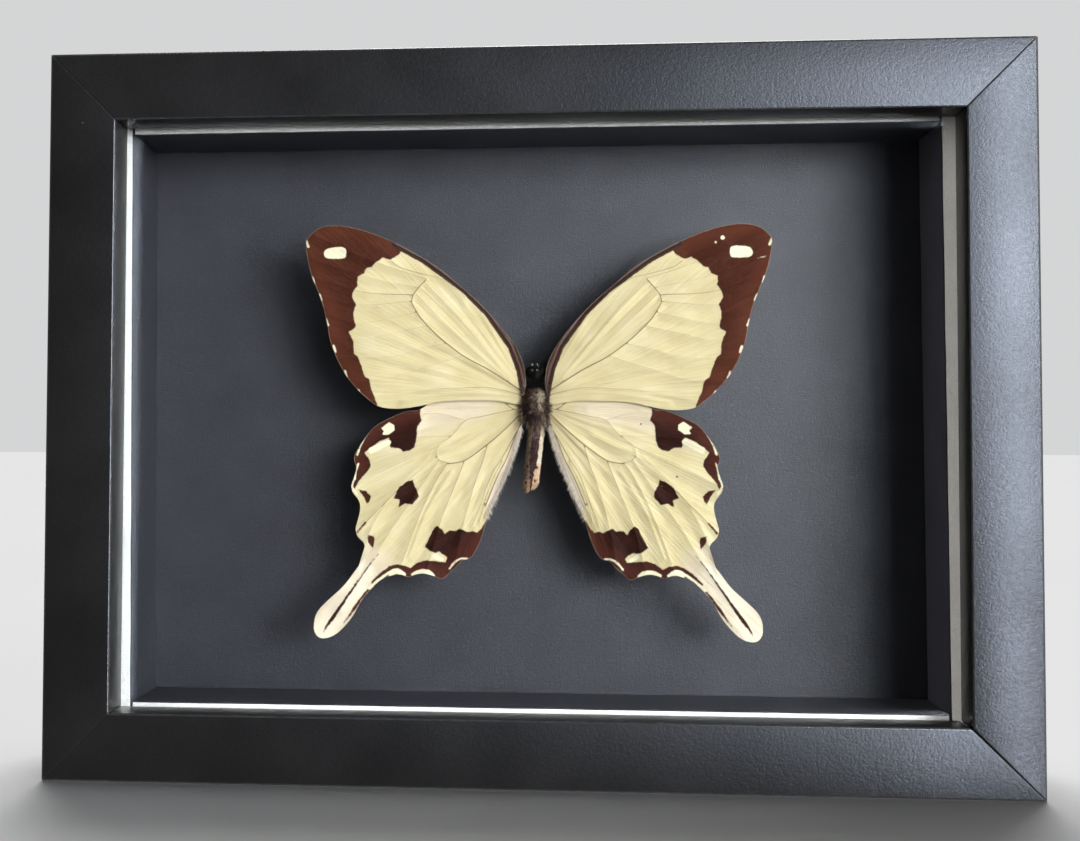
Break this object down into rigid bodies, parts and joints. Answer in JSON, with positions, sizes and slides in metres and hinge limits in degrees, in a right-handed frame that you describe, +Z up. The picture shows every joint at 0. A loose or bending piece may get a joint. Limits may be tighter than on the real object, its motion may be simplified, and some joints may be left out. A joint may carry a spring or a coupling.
{
  "type": "framed butterfly specimen",
  "caption": "Spread swallowtail butterfly mounted on charcoal board in a glazed black box frame, for a shelf or a wall.",
  "frame": {"origin": "middle of the frame's footprint, on the surface that its long bottom edge stands on", "axes": "+Z up, +X to the viewer's right along the frame's long side, +Y towards the back, so the glass faces -Y"},
  "size_m": [0.2, 0.038, 0.15],
  "materials": {
    "black_foil": "black satin foil wrapped round a wood fibre moulding",
    "clear_glass": "clear 2 mm picture glass, polished",
    "foam_board": "foam board strip, white core on its cut edges, charcoal paper facing",
    "charcoal_card": "foam board faced with charcoal paper, fine fibre",
    "hardboard": "brown hardboard, smooth side out",
    "tab_steel": "thin bright steel, stamped",
    "hanger_brass": "brass-plated steel, stamped",
    "plug_foam": "dark foam plug",
    "dark_chitin": "near-black, finely haired, small pale dots",
    "body_fur": "dark grey-brown and cream hair",
    "abdomen_scales": "cream scales with a dark middle stripe",
    "wing_scales": "cream wing scales with dark brown borders and spots, raised veins"
  },
  "bodies": {
    "root": {"frame_top": "black_foil", "frame_bottom": "black_foil", "frame_left": "black_foil", "frame_right": "black_foil", "glass_pane": "clear_glass", "spacer_top": "foam_board", "spacer_bottom": "foam_board", "spacer_left": "foam_board", "spacer_right": "foam_board", "mount_board": "charcoal_card", "back_panel": "hardboard", "tab_top_left": "tab_steel", "tab_top_right": "tab_steel", "tab_bottom_left": "tab_steel", "tab_bottom_right": "tab_steel", "tab_left": "tab_steel", "tab_right": "tab_steel", "hanger_plate": "hanger_brass", "hanger_rivet": "hanger_brass", "support_post": "plug_foam", "head": "dark_chitin", "thorax": "body_fur", "abdomen": "abdomen_scales", "forewing_left": "wing_scales", "forewing_right": "wing_scales", "hindwing_left": "wing_scales", "hindwing_right": "wing_scales"}
  },
  "joints": []
}
